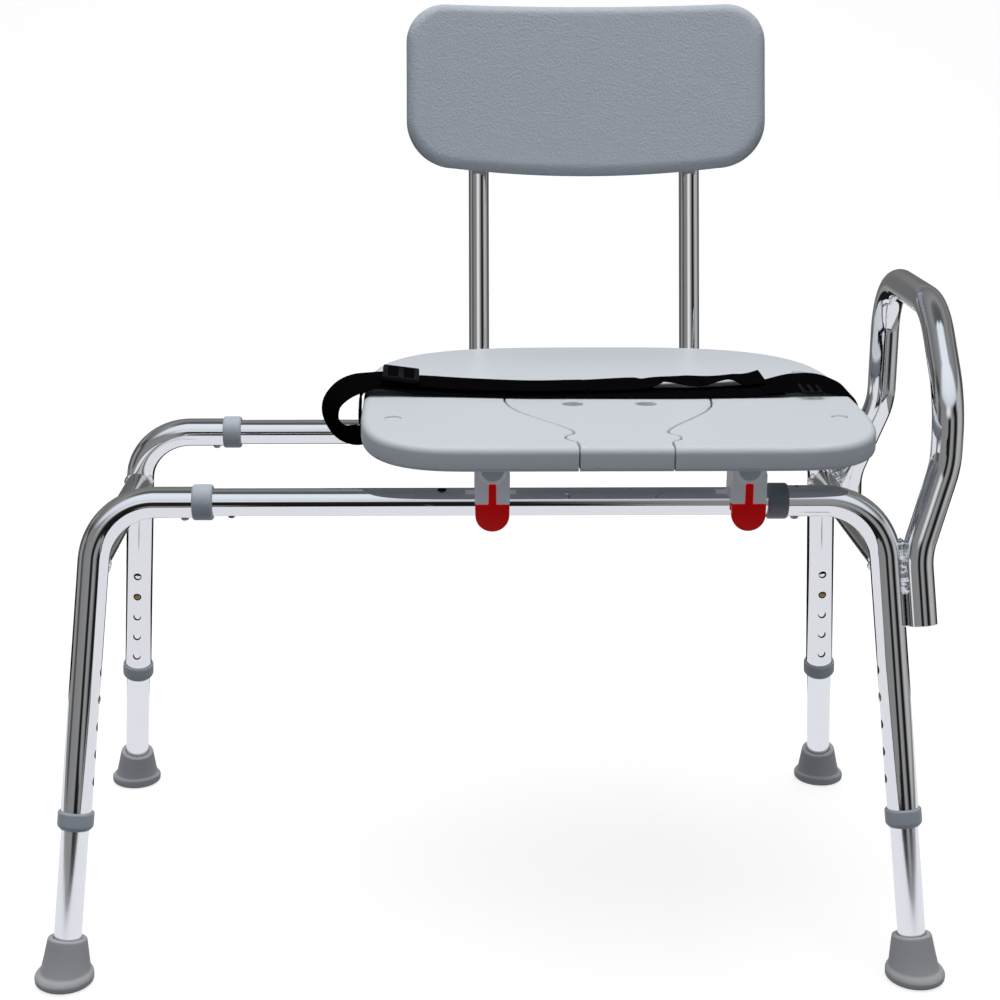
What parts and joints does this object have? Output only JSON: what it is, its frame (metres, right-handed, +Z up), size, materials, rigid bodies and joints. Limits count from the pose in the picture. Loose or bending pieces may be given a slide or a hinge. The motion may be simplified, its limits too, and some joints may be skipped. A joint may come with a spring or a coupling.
{
  "type": "bath transfer bench",
  "caption": "Bath transfer bench: a grey seat with a backrest, cut-out and belt slides along two chrome rails between splayed leg frames, one carrying an arm rail.",
  "frame": {"origin": "on the floor, under the middle of the bounding box", "axes": "+X along the slide rails towards the arm rail, +Y towards the backrest, +Z up"},
  "size_m": [0.852, 0.613, 0.8689],
  "materials": {
    "tube": "polished tube",
    "collar": "satin moulded",
    "foot": "matte",
    "seat": "fine grain blow-moulded",
    "backrest": "pebbled blow-moulded",
    "glide": "satin moulded",
    "lever": "satin moulded",
    "button": "worn",
    "webbing": "woven strap",
    "cap": "satin moulded"
  },
  "bodies": {
    "base": {"front_rail": "tube", "rear_rail": "tube"},
    "left_end_frame": {"left_cross_tube": "tube", "left_front_leg_tube": "tube", "left_front_rail_collar": "collar", "left_front_leg_collar": "collar", "left_rear_leg_tube": "tube", "left_rear_rail_collar": "collar", "left_rear_leg_collar": "collar"},
    "left_front_rail_button": {"left_front_rail_button": "button"},
    "left_rear_rail_button": {"left_rear_rail_button": "button"},
    "left_front_leg": {"left_front_leg_extension": "tube", "left_front_foot": "foot"},
    "left_front_leg_button": {"left_front_leg_button": "button"},
    "left_rear_leg": {"left_rear_leg_extension": "tube", "left_rear_foot": "foot"},
    "left_rear_leg_button": {"left_rear_leg_button": "button"},
    "right_end_frame": {"right_cross_tube": "tube", "right_front_leg_tube": "tube", "right_front_rail_collar": "collar", "right_front_leg_collar": "collar", "right_rear_leg_tube": "tube", "right_rear_rail_collar": "collar", "right_rear_leg_collar": "collar", "arm_rail": "tube", "arm_rail_plug_front": "cap", "arm_rail_plug_rear": "cap"},
    "right_front_rail_button": {"right_front_rail_button": "button"},
    "right_rear_rail_button": {"right_rear_rail_button": "button"},
    "right_front_leg": {"right_front_leg_extension": "tube", "right_front_foot": "foot"},
    "right_front_leg_button": {"right_front_leg_button": "button"},
    "right_rear_leg": {"right_rear_leg_extension": "tube", "right_rear_foot": "foot"},
    "right_rear_leg_button": {"right_rear_leg_button": "button"},
    "seat": {"seat_panel": "seat", "left_front_glide": "glide", "left_front_seat_screw_cap": "seat", "left_rear_glide": "glide", "left_rear_seat_screw_cap": "seat", "right_front_glide": "glide", "right_front_seat_screw_cap": "seat", "right_rear_glide": "glide", "right_rear_seat_screw_cap": "seat", "belt_left_strap": "webbing", "belt_right_strap": "webbing", "belt_slider_left": "cap", "belt_ring_right": "cap"},
    "left_front_latch_lever": {"left_front_latch_lever": "lever"},
    "left_rear_latch_lever": {"left_rear_latch_lever": "lever"},
    "right_front_latch_lever": {"right_front_latch_lever": "lever"},
    "right_rear_latch_lever": {"right_rear_latch_lever": "lever"},
    "cutout": {"seat_cutout_plug": "seat"},
    "belt_lap": {"belt_lap_strap": "webbing"},
    "backrest": {"left_backrest_post": "tube", "right_backrest_post": "tube", "backrest_panel": "backrest"},
    "left_post_button": {"left_post_button": "button"},
    "right_post_button": {"right_post_button": "button"}
  },
  "joints": [
    {"name": "left_end_frame_pull_off", "type": "slide", "parent": "base", "child": "left_end_frame", "axis": [-1, 0, 0], "range_m": [0, 0.045], "deforming": ["left_front_rail_button", "left_rear_rail_button"]},
    {"name": "left_front_rail_button_press", "type": "slide", "parent": "base", "child": "left_front_rail_button", "axis": [0, 0, 1], "range_m": [0, 0.004], "stiffness_N_per_m": 600},
    {"name": "left_rear_rail_button_press", "type": "slide", "parent": "base", "child": "left_rear_rail_button", "axis": [0, 0, 1], "range_m": [0, 0.004], "stiffness_N_per_m": 600},
    {"name": "left_front_leg_height", "type": "slide", "parent": "left_end_frame", "child": "left_front_leg", "axis": [-0.0811, -0.2022, -0.976], "range_m": [-0.0254, 0.0762], "deforming": ["left_front_leg_button"]},
    {"name": "left_front_leg_button_press", "type": "slide", "parent": "left_front_leg", "child": "left_front_leg_button", "axis": [-0.9967, 0.0165, 0.0794], "range_m": [0, 0.0035], "stiffness_N_per_m": 600},
    {"name": "left_rear_leg_height", "type": "slide", "parent": "left_end_frame", "child": "left_rear_leg", "axis": [-0.0811, 0.2022, -0.976], "range_m": [-0.0254, 0.0762], "deforming": ["left_rear_leg_button"]},
    {"name": "left_rear_leg_button_press", "type": "slide", "parent": "left_rear_leg", "child": "left_rear_leg_button", "axis": [0.0167, 0.9793, 0.2015], "range_m": [0, 0.0035], "stiffness_N_per_m": 600},
    {"name": "right_end_frame_pull_off", "type": "slide", "parent": "base", "child": "right_end_frame", "axis": [1, 0, 0], "range_m": [0, 0.045], "deforming": ["right_front_rail_button", "right_rear_rail_button"]},
    {"name": "right_front_rail_button_press", "type": "slide", "parent": "base", "child": "right_front_rail_button", "axis": [0, 0, 1], "range_m": [0, 0.004], "stiffness_N_per_m": 600},
    {"name": "right_rear_rail_button_press", "type": "slide", "parent": "base", "child": "right_rear_rail_button", "axis": [0, 0, 1], "range_m": [0, 0.004], "stiffness_N_per_m": 600},
    {"name": "right_front_leg_height", "type": "slide", "parent": "right_end_frame", "child": "right_front_leg", "axis": [0.0811, -0.2022, -0.976], "range_m": [-0.0254, 0.0762], "deforming": ["right_front_leg_button"]},
    {"name": "right_front_leg_button_press", "type": "slide", "parent": "right_front_leg", "child": "right_front_leg_button", "axis": [0.9967, 0.0165, 0.0794], "range_m": [0, 0.0035], "stiffness_N_per_m": 600},
    {"name": "right_rear_leg_height", "type": "slide", "parent": "right_end_frame", "child": "right_rear_leg", "axis": [0.0811, 0.2022, -0.976], "range_m": [-0.0254, 0.0762], "deforming": ["right_rear_leg_button"]},
    {"name": "right_rear_leg_button_press", "type": "slide", "parent": "right_rear_leg", "child": "right_rear_leg_button", "axis": [-0.0167, 0.9793, 0.2015], "range_m": [0, 0.0035], "stiffness_N_per_m": 600},
    {"name": "seat_slide", "type": "slide", "parent": "base", "child": "seat", "axis": [1, 0, 0], "range_m": [-0.235, 0]},
    {"name": "left_front_latch_lever_hinge", "type": "hinge", "parent": "seat", "child": "left_front_latch_lever", "pos_m": [-0.00325, -0.20468, 0.4514], "axis": [-1, 0, 0], "range_deg": [0, 60]},
    {"name": "left_rear_latch_lever_hinge", "type": "hinge", "parent": "seat", "child": "left_rear_latch_lever", "pos_m": [-0.00325, 0.10052, 0.4514], "axis": [1, 0, 0], "range_deg": [0, 45]},
    {"name": "right_front_latch_lever_hinge", "type": "hinge", "parent": "seat", "child": "right_front_latch_lever", "pos_m": [0.22875, -0.20468, 0.4514], "axis": [-1, 0, 0], "range_deg": [0, 60]},
    {"name": "right_rear_latch_lever_hinge", "type": "hinge", "parent": "seat", "child": "right_rear_latch_lever", "pos_m": [0.22875, 0.10052, 0.4514], "axis": [1, 0, 0], "range_deg": [0, 45]},
    {"name": "cutout_lift", "type": "slide", "parent": "seat", "child": "cutout", "axis": [0, 0, 1], "range_m": [0, 0.04]},
    {"name": "belt_lift", "type": "slide", "parent": "seat", "child": "belt_lap", "axis": [0, 0, 1], "range_m": [0, 0.04]},
    {"name": "backrest_pull_out", "type": "slide", "parent": "seat", "child": "backrest", "axis": [0, 1, 0], "range_m": [0, 0.05], "deforming": ["left_post_button", "right_post_button"]},
    {"name": "left_post_button_press", "type": "slide", "parent": "backrest", "child": "left_post_button", "axis": [0, 0, 1], "range_m": [0, 0.003], "stiffness_N_per_m": 600},
    {"name": "right_post_button_press", "type": "slide", "parent": "backrest", "child": "right_post_button", "axis": [0, 0, 1], "range_m": [0, 0.003], "stiffness_N_per_m": 600}
  ],
  "couplings": [
    {"joint": "belt_lift", "follows": "cutout_lift", "ratio": 1}
  ]
}
